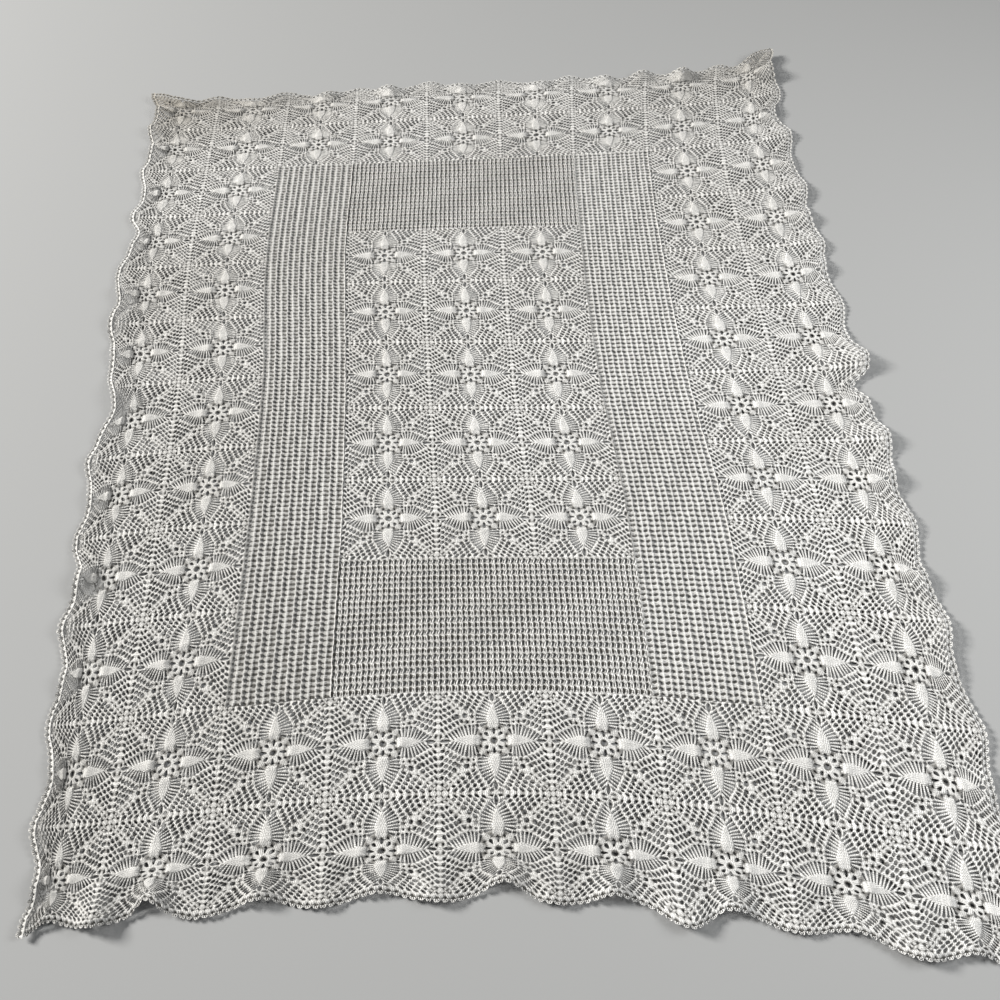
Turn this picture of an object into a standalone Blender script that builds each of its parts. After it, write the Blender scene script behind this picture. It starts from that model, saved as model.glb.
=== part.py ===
"""Crochet bedspread of leaf-and-star squares, laid out flat with a ruffled rim.

Metres, +Z up, standing on the floor at z = 0. The width runs along X and the length along Y,
with the head at +Y. A place on the cloth is counted in squares: u from the left rim (0 to 9)
and v from the head (0 to 12). The function laid() turns that place into a point in space.

The bedspread is made of a centre panel of 3 x 5 squares, four plain mesh panels around it,
a border two squares wide in four strips, and a narrow shell edging in four lengths.
"""
import math

import bmesh
import bpy

# Driving dimensions
SQUARE = 0.200            # side of one crocheted square
ACROSS, ALONG = 9, 12     # squares in the whole width and length
SHEET = 0.003             # thickness of the lace
EDGING = 0.012            # width of the shell edging
EYELET = 0.010            # round hole in the middle of each square, across its corners
EYELET_SIDES = 8
GAP = 0.0003              # left between neighbouring pieces
STEPS = 6                 # places along one square at which the rim is shaped
HALF = STEPS // 2         # the plain cells are half a square

# Panels in squares: name, first u, first v, last u, last v, and whether it has leaf squares
PANELS = (
    ("centre_panel", 3, 3.5, 6, 8.5, True),
    ("mesh_head", 3, 2, 6, 3.5, False),
    ("mesh_foot", 3, 8.5, 6, 10, False),
    ("mesh_left", 2, 2, 3, 10, False),
    ("mesh_right", 6, 2, 7, 10, False),
    ("border_head", 2, 0, 7, 2, True),
    ("border_foot", 2, 10, 7, 12, True),
    ("border_left", 0, 0, 2, 12, True),
    ("border_right", 7, 0, 9, 12, True),
)

# How far the laid cloth is pulled out of true, in metres, a row for each second line of squares.
# Columns: v, then the shift along X at u = 0, 2, 4.5, 7 and 9, then along Y at the same places
PULL = (
    (0, -0.015, -0.005, 0.000, 0.045, 0.050, -0.060, -0.060, -0.030, -0.015, 0.060),
    (2, 0.000, -0.010, -0.005, 0.005, 0.025, -0.025, -0.015, -0.010, 0.005, 0.040),
    (4, 0.005, -0.015, -0.015, -0.010, 0.015, -0.005, 0.010, 0.015, 0.000, 0.005),
    (6, 0.025, 0.010, -0.010, -0.010, 0.015, -0.010, 0.020, 0.005, -0.015, -0.025),
    (8, 0.045, 0.015, 0.005, 0.010, 0.010, -0.020, 0.015, 0.005, -0.020, -0.060),
    (10, 0.070, 0.010, 0.005, 0.005, 0.010, -0.015, 0.005, 0.015, -0.040, -0.110),
    (12, 0.100, 0.010, 0.005, -0.015, -0.020, 0.010, 0.025, 0.025, -0.045, -0.135),
)
STATIONS = (0, 2, 4.5, 7, 9)

# Each side of the rim: way inwards along X and Y, mean draw of its leaves in metres, and the
# angle at which its ridges start to vary
SIDES = {
    "left": (1, 0, 0.034, 0.4),
    "right": (-1, 0, 0.030, 1.9),
    "head": (0, -1, 0.044, 3.1),
    "foot": (0, 1, 0.028, 5.0),
}
DRAW_LEAF = 0.009         # part of the draw that comes and goes with each square
DRAW_REACH = 0.52         # squares in from the rim over which the draw is felt
FADE_POWER = 1.2          # how fast draw and ridges die away from the rim
RIDGE_REACH = 0.62        # squares in from the rim over which a ridge dies away
RIDGE_WIDTH = 0.24        # half width of a ridge, in squares

# Ridges of the rim, one at each leaf tip and a smaller one between two squares. Columns: place
# along the square, usual height in metres, share by which the height varies, angle by which it
# varies from one square to the next, shift to and fro in squares, and the angle of that shift
RIDGES = (
    (0.5, 0.013, 0.45, 1.7, 0.07, 2.3),
    (0.0, 0.006, 0.60, 2.9, 0.06, 1.3),
)

# Low swells of the border, which end before the mesh panels
SWELL = 0.004             # usual height
SWELL_ENDS = 1.8          # squares in from the rim at which they end
SWELL_FALL = 0.8          # squares over which they die away
SWELL_WAVES = ((2.1, 0.9, 0.0), (-1.3, 1.7, 1.0))   # angle for each u, for each v, and start

# Larger folds of the rim: side, place along it in squares, height, draw inwards, half width in
# squares, and reach in from the rim in squares
FOLDS = (
    ("left", 1.05, 0.014, 0.004, 0.26, 0.55),
    ("left", 3.30, 0.006, 0.012, 0.30, 0.45),
    ("left", 4.30, 0.004, -0.012, 0.45, 0.45),
    ("left", 4.80, 0.016, 0.000, 0.34, 0.70),
    ("left", 6.15, 0.020, 0.034, 0.55, 0.75),
    ("left", 8.35, 0.010, 0.008, 0.32, 0.55),
    ("right", 0.45, 0.016, 0.000, 0.50, 0.80),
    ("right", 1.50, 0.004, 0.014, 0.40, 0.45),
    ("right", 3.10, 0.010, 0.000, 0.30, 0.55),
    ("right", 5.85, 0.022, -0.010, 0.30, 0.80),
    ("right", 6.25, 0.004, 0.030, 0.22, 0.45),
    ("right", 6.95, 0.012, 0.000, 0.28, 0.55),
    ("right", 9.20, 0.010, 0.006, 0.34, 0.60),
    ("head", 0.25, 0.014, 0.000, 0.30, 0.55),
    ("head", 1.75, 0.010, 0.004, 0.28, 0.50),
    ("head", 6.95, 0.014, 0.000, 0.22, 0.50),
    ("head", 7.45, 0.016, 0.006, 0.22, 0.50),
    ("head", 8.70, 0.010, -0.030, 0.50, 0.45),
    ("foot", 1.00, 0.012, 0.000, 0.34, 0.60),
    ("foot", 1.50, 0.004, 0.016, 0.20, 0.45),
    ("foot", 3.95, 0.010, 0.000, 0.30, 0.55),
    ("foot", 4.55, 0.006, 0.014, 0.30, 0.45),
    ("foot", 6.10, 0.012, -0.022, 0.36, 0.60),
    ("foot", 8.00, 0.010, -0.008, 0.50, 0.60),
)
YARN = (0.78, 0.75, 0.68, 1.0)
YARN_ROUGHNESS = 0.85


def lagrange(places, values, at):
    """Smooth curve through a few values, read at one place."""
    total = 0.0
    for i, place in enumerate(places):
        weight = 1.0
        for j, other in enumerate(places):
            if i != j:
                weight *= (at - other) / (place - other)
        total += weight * values[i]
    return total


def along_table(values, v):
    """Catmull-Rom curve through one value a row of PULL, read at v."""
    spacing = PULL[1][0] - PULL[0][0]
    row = min(max(int(v / spacing), 0), len(values) - 2)
    t = v / spacing - row
    before = values[row - 1] if row > 0 else 2 * values[0] - values[1]
    start, end = values[row], values[row + 1]
    after = values[row + 2] if row + 2 < len(values) else 2 * end - start
    return start + 0.5 * t * (end - before + t * (
        2 * before - 5 * start + 4 * end - after + t * (3 * (start - end) + after - before)))


def bump(distance, half_width):
    """Round bump of height 1 that ends half_width away from its middle."""
    share = abs(distance) / half_width
    return 0.5 + 0.5 * math.cos(math.pi * share) if share < 1 else 0.0


def fade(depth, reach):
    """1 at the rim, falling smoothly to 0 at reach squares in from it."""
    return max(0.0, 1.0 - depth / reach) ** FADE_POWER


def sides_of(u, v):
    """Each side with the place along it and the depth in from it, in squares."""
    return (("left", v, u), ("right", v, ACROSS - u), ("head", u, v), ("foot", u, ALONG - v))


def ridge_height(side, place):
    """Height of the ridges that the leaves and corners of the rim squares make."""
    phase = SIDES[side][3]
    height = 0.0
    for k in range(-1, ALONG + 1):
        for along, usual, varies, turn, shift, shift_turn in RIDGES:
            middle = k + along + shift * math.sin(shift_turn * k + phase)
            here = usual * (1 + varies * math.sin(turn * k + phase))
            height += here * bump(place - middle, RIDGE_WIDTH)
    return height


def rim_shape(side, place, depth):
    """Draw inwards and height that one side of the rim gives to a place near it."""
    draw = SIDES[side][2] + DRAW_LEAF * math.cos(2 * math.pi * (place - 0.5))
    draw *= fade(depth, DRAW_REACH)
    height = ridge_height(side, place) * fade(depth, RIDGE_REACH)
    for fold_side, middle, fold_height, fold_draw, half_width, reach in FOLDS:
        if fold_side == side:
            share = bump(place - middle, half_width)
            height += fold_height * share * fade(depth, reach)
            draw += fold_draw * share * fade(depth, DRAW_REACH)
    return draw, height


def swell_height(u, v, depth):
    """Low swells of the border, which end before the mesh panels."""
    share = min(max((SWELL_ENDS - depth) / SWELL_FALL, 0.0), 1.0)
    waves = [math.sin(turn_u * u + turn_v * v + start) for turn_u, turn_v, start in SWELL_WAVES]
    return SWELL * share * (1 + sum(waves) / len(waves)) / 2


def laid(u, v):
    """Point of the underside for a place on the cloth; past the rim it goes straight out."""
    ru, rv = min(max(u, 0.0), ACROSS), min(max(v, 0.0), ALONG)
    pull = [along_table(column, rv) for column in list(zip(*PULL))[1:]]
    count = len(STATIONS)
    x = (u - ACROSS / 2) * SQUARE + lagrange(STATIONS, pull[:count], ru)
    y = (ALONG / 2 - v) * SQUARE + lagrange(STATIONS, pull[count:], ru)
    sides = sides_of(ru, rv)
    z = swell_height(ru, rv, min(depth for _, _, depth in sides))
    for side, place, depth in sides:
        draw, height = rim_shape(side, place, depth)
        x += draw * SIDES[side][0]
        y += draw * SIDES[side][1]
        z += height
    return x, y, z


def breaks(first, last_line):
    """Cell lines between first and first + HALF: the rim gets a band one step deep."""
    lines = [first, first + HALF]
    if first == 0:
        lines.insert(1, first + 1)
    if first + HALF == last_line:
        lines.insert(1, first + HALF - 1)
    return lines


def panel_cells(first_u, first_v, last_u, last_v):
    """Rectangles of a panel in rim steps; those on the rim are one step long."""
    cells = []
    for a in range(round(first_u * STEPS), round(last_u * STEPS), HALF):
        for b in range(round(first_v * STEPS), round(last_v * STEPS), HALF):
            u_lines = breaks(a, ACROSS * STEPS)
            v_lines = breaks(b, ALONG * STEPS)
            for u0, u1 in zip(u_lines, u_lines[1:]):
                for v0, v1 in zip(v_lines, v_lines[1:]):
                    on_sides = u0 == 0 or u1 == ACROSS * STEPS
                    on_ends = v0 == 0 or v1 == ALONG * STEPS
                    u_step = 1 if on_ends else u1 - u0
                    v_step = 1 if on_sides else v1 - v0
                    for cu in range(u0, u1, u_step):
                        for cv in range(v0, v1, v_step):
                            cells.append((cu, cv, cu + u_step, cv + v_step))
    return cells


def cell_outline(cell, corners):
    """Corners of a cell with the corners of its neighbours that lie on its sides, in order."""
    u0, v0, u1, v1 = cell
    outline = [(u, v0) for u in range(u0, u1)]
    outline += [(u1, v) for v in range(v0, v1)]
    outline += [(u, v1) for u in range(u1, u0, -1)]
    outline += [(u0, v) for v in range(v1, v0, -1)]
    return [point for point in outline if point in corners]


def eyelet_arc(middle, before, after):
    """Points of an eyelet's rim inside one cell, from the side of before to that of after."""
    radius = EYELET / 2 / SQUARE
    start = math.atan2(before[1] - middle[1], before[0] - middle[0])
    end = math.atan2(after[1] - middle[1], after[0] - middle[0])
    turn = (end - start + math.pi) % (2 * math.pi) - math.pi
    count = EYELET_SIDES // 4
    angles = [start + turn * i / count for i in range(count + 1)]
    return [(middle[0] / STEPS + radius * math.cos(a), middle[1] / STEPS + radius * math.sin(a))
            for a in angles]


def star_middles(first_u, first_v, last_u, last_v):
    """Middles of the squares of a panel, in rim steps."""
    return {(round((first_u + i + 0.5) * STEPS), round((first_v + j + 0.5) * STEPS))
            for i in range(round(last_u - first_u)) for j in range(round(last_v - first_v))}


def panel_outlines(first_u, first_v, last_u, last_v, leafy):
    """Polygons of a panel in squares, with the eyelets cut out and the joins held apart."""
    cells = panel_cells(first_u, first_v, last_u, last_v)
    corners = {(c[i], c[j]) for c in cells for i in (0, 2) for j in (1, 3)}
    stars = star_middles(first_u, first_v, last_u, last_v) if leafy else set()
    half_gap = GAP / SQUARE / 2

    def apart(u, v):
        """Move a place on a join half a gap back from it."""
        u += half_gap * ((u == first_u and u > 0) - (u == last_u and u < ACROSS))
        v += half_gap * ((v == first_v and v > 0) - (v == last_v and v < ALONG))
        return u, v

    polygons = []
    for cell in cells:
        outline = cell_outline(cell, corners)
        polygon = []
        for i, point in enumerate(outline):
            if point in stars:
                after = outline[(i + 1) % len(outline)]
                polygon += eyelet_arc(point, outline[i - 1], after)
            else:
                polygon.append(apart(point[0] / STEPS, point[1] / STEPS))
        polygons.append(polygon)
    return polygons


def edging_outlines(side):
    """Polygons of one length of edging in squares; the two long ones run past the corners."""
    inner, outer = -GAP / SQUARE, -EDGING / SQUARE
    long_side = side in ("left", "right")
    length = ALONG if long_side else ACROSS
    places = [i / STEPS for i in range(length * STEPS + 1)]
    if long_side:
        places = [outer] + places + [length - outer]
    far = ACROSS if side == "right" else ALONG
    polygons = []
    for start, end in zip(places, places[1:]):
        loop = [(start, inner), (end, inner), (end, outer), (start, outer)]
        if side in ("right", "foot"):
            loop = [(place, far - depth) for place, depth in loop]
        polygons.append([(d, s) for s, d in loop] if long_side else loop)
    return polygons


def new_collection(name):
    """Collection of the parts, linked to the scene."""
    collection = bpy.data.collections.new(name)
    bpy.context.scene.collection.children.link(collection)
    return collection


def yarn_material(name):
    """Plain cotton yarn."""
    material = bpy.data.materials.new(name)
    material.use_nodes = True
    shader = material.node_tree.nodes["Principled BSDF"]
    shader.inputs["Base Color"].default_value = YARN
    shader.inputs["Roughness"].default_value = YARN_ROUGHNESS
    shader.inputs["Metallic"].default_value = 0.0
    return material


def sheet_object(name, polygons, middle, collection):
    """Closed sheet over laid polygons: the underside, raised by the thickness of the lace."""
    mesh = bpy.data.meshes.new(name)
    bm = bmesh.new()
    made = {}
    for polygon in polygons:
        corners = []
        for u, v in polygon:
            key = (round(u, 6), round(v, 6))
            if key not in made:
                x, y, z = laid(u, v)
                made[key] = bm.verts.new((x - middle[0], y - middle[1], z))
            corners.append(made[key])
        bm.faces.new(corners)
    bmesh.ops.triangulate(bm, faces=bm.faces[:], ngon_method="BEAUTY")
    bmesh.ops.recalc_face_normals(bm, faces=bm.faces[:])
    under = bm.faces[:]
    if sum(face.normal.z for face in under) > 0:
        bmesh.ops.reverse_faces(bm, faces=under)
    raised = bmesh.ops.extrude_face_region(bm, geom=under, use_keep_orig=True)
    top = [item for item in raised["geom"] if isinstance(item, bmesh.types.BMVert)]
    bmesh.ops.translate(bm, verts=top, vec=(0, 0, SHEET))
    bmesh.ops.recalc_face_normals(bm, faces=bm.faces[:])
    bm.to_mesh(mesh)
    bm.free()
    mesh.materials.append(yarn_material(name + "_yarn"))
    piece = bpy.data.objects.new(name, mesh)
    collection.objects.link(piece)
    return piece


def rim_middle():
    """Middle of the laid bedspread, which becomes the origin."""
    xs, ys = [], []
    for side in ("left", "right", "head", "foot"):
        for polygon in edging_outlines(side):
            for u, v in polygon:
                x, y, _ = laid(u, v)
                xs.append(x)
                ys.append(y)
    return (min(xs) + max(xs)) / 2, (min(ys) + max(ys)) / 2


def main():
    """Build the panels and the edging."""
    for item in list(bpy.data.objects):
        bpy.data.objects.remove(item, do_unlink=True)
    collection = new_collection("crochet_bedspread")
    middle = rim_middle()
    for name, first_u, first_v, last_u, last_v, leafy in PANELS:
        polygons = panel_outlines(first_u, first_v, last_u, last_v, leafy)
        sheet_object(name, polygons, middle, collection)
    for side in ("head", "foot", "left", "right"):
        sheet_object("edging_" + side, edging_outlines(side), middle, collection)


if __name__ == "__main__":
    main()
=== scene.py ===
"""Crochet bedspread, dressed: lace squares with raised leaves, mesh panels and a shell edging.

Metres, +Z up. A place on the cloth is counted in squares: u from the left rim (0 to 9) and v
from the head (0 to 12). LaidCloth turns such a place into a point in space, with the same pull,
ruffles and folds as the solid that the lace replaces. A chart is the flat drawing of one repeat
of the lace, in millimetres: where its holes lie and where its yarn stands up.
"""

import logging
import math
from dataclasses import dataclass, field
from enum import Enum

import bpy
import numpy as np
from mathutils import Euler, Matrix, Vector
from mathutils.geometry import delaunay_2d_cdt


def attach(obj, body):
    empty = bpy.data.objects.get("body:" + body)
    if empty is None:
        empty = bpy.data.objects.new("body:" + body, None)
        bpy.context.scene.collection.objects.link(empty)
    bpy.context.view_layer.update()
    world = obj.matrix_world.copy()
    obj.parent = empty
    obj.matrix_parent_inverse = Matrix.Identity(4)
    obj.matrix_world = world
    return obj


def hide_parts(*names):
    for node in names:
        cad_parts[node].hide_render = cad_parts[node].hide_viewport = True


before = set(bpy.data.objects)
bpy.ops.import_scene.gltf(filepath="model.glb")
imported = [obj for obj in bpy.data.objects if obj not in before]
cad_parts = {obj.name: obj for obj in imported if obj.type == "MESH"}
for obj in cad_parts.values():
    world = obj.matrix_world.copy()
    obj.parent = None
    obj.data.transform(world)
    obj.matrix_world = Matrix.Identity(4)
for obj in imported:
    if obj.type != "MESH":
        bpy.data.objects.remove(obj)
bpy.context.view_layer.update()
log = logging.getLogger("bedspread")

Pair = tuple[float, float]
Triple = tuple[float, float, float]
Socket = bpy.types.NodeSocket
Material = bpy.types.Material
Values = np.ndarray

BODY = "root"
MM = 0.001
STITCH_MAP = "Stitches"
FLAT_MAP = "OFBake"
SHELLS_A_SQUARE = 15
QUARTER_TURNS = ((1, 0), (0, 1), (-1, 0), (0, -1))   # cosine and sine of each

# The cloth, as in the solids
SQUARE = 0.200
ACROSS, ALONG = 9, 12
EDGING = 0.012

# How far the laid cloth is pulled out of true, in metres, a row for each second line of squares.
# Columns: v, then the shift along X at u = 0, 2, 4.5, 7 and 9, then along Y at the same places
PULL = (
    (0, -0.015, -0.005, 0.000, 0.045, 0.050, -0.060, -0.060, -0.030, -0.015, 0.060),
    (2, 0.000, -0.010, -0.005, 0.005, 0.025, -0.025, -0.015, -0.010, 0.005, 0.040),
    (4, 0.005, -0.015, -0.015, -0.010, 0.015, -0.005, 0.010, 0.015, 0.000, 0.005),
    (6, 0.025, 0.010, -0.010, -0.010, 0.015, -0.010, 0.020, 0.005, -0.015, -0.025),
    (8, 0.045, 0.015, 0.005, 0.010, 0.010, -0.020, 0.015, 0.005, -0.020, -0.060),
    (10, 0.070, 0.010, 0.005, 0.005, 0.010, -0.015, 0.005, 0.015, -0.040, -0.110),
    (12, 0.100, 0.010, 0.005, -0.015, -0.020, 0.010, 0.025, 0.025, -0.045, -0.135),
)
STATIONS = (0, 2, 4.5, 7, 9)

# Each side of the rim: way inwards along X and Y, mean draw of its leaves in metres, and the
# angle at which its ridges start to vary
SIDES = {
    "left": (1, 0, 0.034, 0.4),
    "right": (-1, 0, 0.030, 1.9),
    "head": (0, -1, 0.044, 3.1),
    "foot": (0, 1, 0.028, 5.0),
}
DRAW_LEAF = 0.009
DRAW_REACH = 0.52
FADE_POWER = 1.2
RIDGE_REACH = 0.62
RIDGE_WIDTH = 0.24

# Ridges of the rim, one at each leaf tip and a smaller one between two squares. Columns: place
# along the square, usual height in metres, share by which the height varies, angle by which it
# varies from one square to the next, shift to and fro in squares, and the angle of that shift
RIDGES = (
    (0.5, 0.013, 0.45, 1.7, 0.07, 2.3),
    (0.0, 0.006, 0.60, 2.9, 0.06, 1.3),
)
SWELL = 0.004
SWELL_ENDS = 1.8
SWELL_FALL = 0.8
SWELL_WAVES = ((2.1, 0.9, 0.0), (-1.3, 1.7, 1.0))

# Larger folds of the rim: side, place along it in squares, height, draw inwards, half width in
# squares, and reach in from the rim in squares
FOLDS = (
    ("left", 1.05, 0.014, 0.004, 0.26, 0.55),
    ("left", 3.30, 0.006, 0.012, 0.30, 0.45),
    ("left", 4.30, 0.004, -0.012, 0.45, 0.45),
    ("left", 4.80, 0.016, 0.000, 0.34, 0.70),
    ("left", 6.15, 0.020, 0.034, 0.55, 0.75),
    ("left", 8.35, 0.010, 0.008, 0.32, 0.55),
    ("right", 0.45, 0.016, 0.000, 0.50, 0.80),
    ("right", 1.50, 0.004, 0.014, 0.40, 0.45),
    ("right", 3.10, 0.010, 0.000, 0.30, 0.55),
    ("right", 5.85, 0.022, -0.010, 0.30, 0.80),
    ("right", 6.25, 0.004, 0.030, 0.22, 0.45),
    ("right", 6.95, 0.012, 0.000, 0.28, 0.55),
    ("right", 9.20, 0.010, 0.006, 0.34, 0.60),
    ("head", 0.25, 0.014, 0.000, 0.30, 0.55),
    ("head", 1.75, 0.010, 0.004, 0.28, 0.50),
    ("head", 6.95, 0.014, 0.000, 0.22, 0.50),
    ("head", 7.45, 0.016, 0.006, 0.22, 0.50),
    ("head", 8.70, 0.010, -0.030, 0.50, 0.45),
    ("foot", 1.00, 0.012, 0.000, 0.34, 0.60),
    ("foot", 1.50, 0.004, 0.016, 0.20, 0.45),
    ("foot", 3.95, 0.010, 0.000, 0.30, 0.55),
    ("foot", 4.55, 0.006, 0.014, 0.30, 0.45),
    ("foot", 6.10, 0.012, -0.022, 0.36, 0.60),
    ("foot", 8.00, 0.010, -0.008, 0.50, 0.60),
)


class Work(Enum):
    """Kinds of crochet in the bedspread."""

    LEAF_SQUARES = "leaf_squares"
    MESH_LEFT = "mesh_left"
    MESH_RIGHT = "mesh_right"
    MESH_ACROSS = "mesh_across"
    SHELLS = "shells"


def bump(distance: Values, half_width: float) -> Values:
    """Round bump of height 1 that ends half_width away from its middle.

    Args:
        distance: Distance from the middle of the bump.
        half_width: Distance at which the bump ends.

    Returns:
        The bump's height at each distance.
    """
    share = np.minimum(np.abs(distance) / half_width, 1.0)
    return 0.5 + 0.5 * np.cos(np.pi * share)


def fade(depth: Values, reach: float) -> Values:
    """1 at the rim, falling smoothly to 0 at reach squares in from it."""
    return np.maximum(0.0, 1.0 - depth / reach) ** FADE_POWER


def smooth_step(values: Values, low: float, high: float) -> Values:
    """0 below low and 1 above high, rising smoothly between them."""
    t = np.clip((values - low) / (high - low), 0.0, 1.0)
    return t * t * (3 - 2 * t)


@dataclass
class LaidCloth:
    """The laid shape of the whole cloth, which every piece of lace lies on."""

    wander_lengths: tuple[float, ...] = (0.31, 0.173, 0.092)
    wander: float = 0.7 * MM
    middle: Pair = (0.0, 0.0)

    def lagrange(self, columns: Values, at: Values) -> Values:
        """Smooth curve through a few values, read at one place for each point.

        Args:
            columns: One row for each of the stations, one value a point.
            at: Place across the cloth of each point, in squares.

        Returns:
            The curve's value at each point.
        """
        total = np.zeros_like(at)
        for i, place in enumerate(STATIONS):
            weight = np.ones_like(at)
            for j, other in enumerate(STATIONS):
                if i != j:
                    weight = weight * (at - other) / (place - other)
            total += weight * columns[i]
        return total

    def along_table(self, v: Values) -> Values:
        """Catmull-Rom curves through the columns of PULL, read at v, one row a column."""
        table = np.array(PULL)[:, 1:]
        spacing = PULL[1][0] - PULL[0][0]
        row = np.clip((v / spacing).astype(int), 0, len(table) - 2)
        t = (v / spacing - row)[:, None]
        longer = np.vstack([2 * table[0] - table[1], table, 2 * table[-1] - table[-2]])
        before, start = longer[row], longer[row + 1]
        end, after = longer[row + 2], longer[row + 3]
        cubic = t * (3 * (start - end) + after - before)
        square = t * (2 * before - 5 * start + 4 * end - after + cubic)
        return (start + t * (end - before + square) / 2).T

    def rim_shape(self, side: str, place: Values, depth: Values) -> tuple[Values, Values]:
        """Draw inwards and height that one side of the rim gives to places near it.

        Args:
            side: Name of the side.
            place: Place along the side, in squares.
            depth: Depth in from the side, in squares.

        Returns:
            The draw and the height, in metres.
        """
        _, _, mean, phase = SIDES[side]
        draw = mean + DRAW_LEAF * np.cos(2 * np.pi * (place - 0.5))
        height = np.zeros_like(place)
        for k in range(-1, ALONG + 1):
            for along, usual, varies, turn, shift, shift_turn in RIDGES:
                middle = k + along + shift * math.sin(shift_turn * k + phase)
                here = usual * (1 + varies * math.sin(turn * k + phase))
                height += here * bump(place - middle, RIDGE_WIDTH)
        draw = draw * fade(depth, DRAW_REACH)
        height *= fade(depth, RIDGE_REACH)
        for fold_side, middle, fold_height, fold_draw, half_width, reach in FOLDS:
            if fold_side == side:
                share = bump(place - middle, half_width)
                height += fold_height * share * fade(depth, reach)
                draw += fold_draw * share * fade(depth, DRAW_REACH)
        return draw, height

    def swell(self, u: Values, v: Values, depth: Values) -> Values:
        """Low swells of the border, which end before the mesh panels."""
        share = np.clip((SWELL_ENDS - depth) / SWELL_FALL, 0.0, 1.0)
        waves = [np.sin(turn_u * u + turn_v * v + start) for turn_u, turn_v, start in SWELL_WAVES]
        return SWELL * share * (1 + sum(waves) / len(waves)) / 2

    def points(self, u: Values, v: Values) -> Values:
        """Points of the solid's underside for places on the cloth.

        Args:
            u: Places across, in squares; past the rim they go straight out.
            v: Places along, in squares.

        Returns:
            One row (x, y, z) for each place, in metres.
        """
        ru, rv = np.clip(u, 0.0, ACROSS), np.clip(v, 0.0, ALONG)
        pull = self.along_table(rv)
        count = len(STATIONS)
        x = (u - ACROSS / 2) * SQUARE + self.lagrange(pull[:count], ru)
        y = (ALONG / 2 - v) * SQUARE + self.lagrange(pull[count:], ru)
        sides = (("left", rv, ru), ("right", rv, ACROSS - ru),
                 ("head", ru, rv), ("foot", ru, ALONG - rv))
        z = self.swell(ru, rv, np.minimum.reduce([depth for _, _, depth in sides]))
        for side, place, depth in sides:
            draw, height = self.rim_shape(side, place, depth)
            x += draw * SIDES[side][0]
            y += draw * SIDES[side][1]
            z += height
        return np.stack([x - self.middle[0], y - self.middle[1], z], axis=1)

    def wandered(self, u: Values, v: Values) -> tuple[Values, Values]:
        """Places moved a little to and fro, as hand work wanders."""
        du, dv = np.zeros_like(u), np.zeros_like(v)
        for i, length in enumerate(self.wander_lengths):
            turn = 2 * np.pi / length
            du += np.sin(turn * (0.8 * u + 0.6 * v) + i) * np.sin(turn * (0.5 * v - 0.9 * u) + 2 * i)
            dv += np.sin(turn * (0.7 * v - 0.7 * u) + 3 * i) * np.sin(turn * (u + 0.3 * v) + i)
        share = self.wander / SQUARE
        return u + share * du, v + share * dv

    def centre(self) -> None:
        """Finds the middle of the outline of the solids, which is the origin."""
        out = EDGING / SQUARE
        places = []
        for side_length, other in ((ALONG, ACROSS), (ACROSS, ALONG)):
            for far in (-out, other + out):
                for place in np.linspace(0, side_length, 6 * side_length + 1):
                    places.append((far, place) if side_length == ALONG else (place, far))
        places += [(a, b) for a in (-out, ACROSS + out) for b in (-out, ALONG + out)]
        u, v = np.array(places, dtype=float).T
        found = self.points(u, v)
        low, high = found.min(axis=0), found.max(axis=0)
        self.middle = ((low[0] + high[0]) / 2, (low[1] + high[1]) / 2)


@dataclass
class Hole:
    """One oval hole of a chart. More fullness fills out its corners, less makes it a lens."""

    x: float
    y: float
    half_length: float
    half_width: float
    angle: float = 0.0
    corners: int = 8
    fullness: float = 2.0
    tipped: bool = False

    def outline(self) -> Values:
        """Corners of the hole, in millimetres, one row each."""
        start = 0.0 if self.tipped else 0.5
        turn = 2 * np.pi * (np.arange(self.corners) + start) / self.corners
        c, s = np.cos(turn), np.sin(turn)
        power = 2.0 / self.fullness
        along = self.half_length * np.sign(c) * np.abs(c) ** power
        wide = self.half_width * np.sign(s) * np.abs(s) ** power
        ca, sa = math.cos(self.angle), math.sin(self.angle)
        return np.stack([self.x + along * ca - wide * sa, self.y + along * sa + wide * ca], axis=1)


@dataclass
class Slot:
    """One long hole of a chart, which widens from its start to its end."""

    start: Pair
    end: Pair
    start_half: float
    end_half: float
    shoulder: float = 0.8

    def outline(self) -> Values:
        """Corners of the slot, in millimetres, one row each."""
        start, end = np.array(self.start), np.array(self.end)
        way = (end - start) / np.linalg.norm(end - start)
        side = np.array([-way[1], way[0]])
        foot, shoulder = start + way * self.start_half, end - way * self.end_half * self.shoulder
        narrow, wide = side * self.start_half, side * self.end_half
        return np.stack([start, foot - narrow, shoulder - wide, end, shoulder + wide, foot + narrow])


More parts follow.
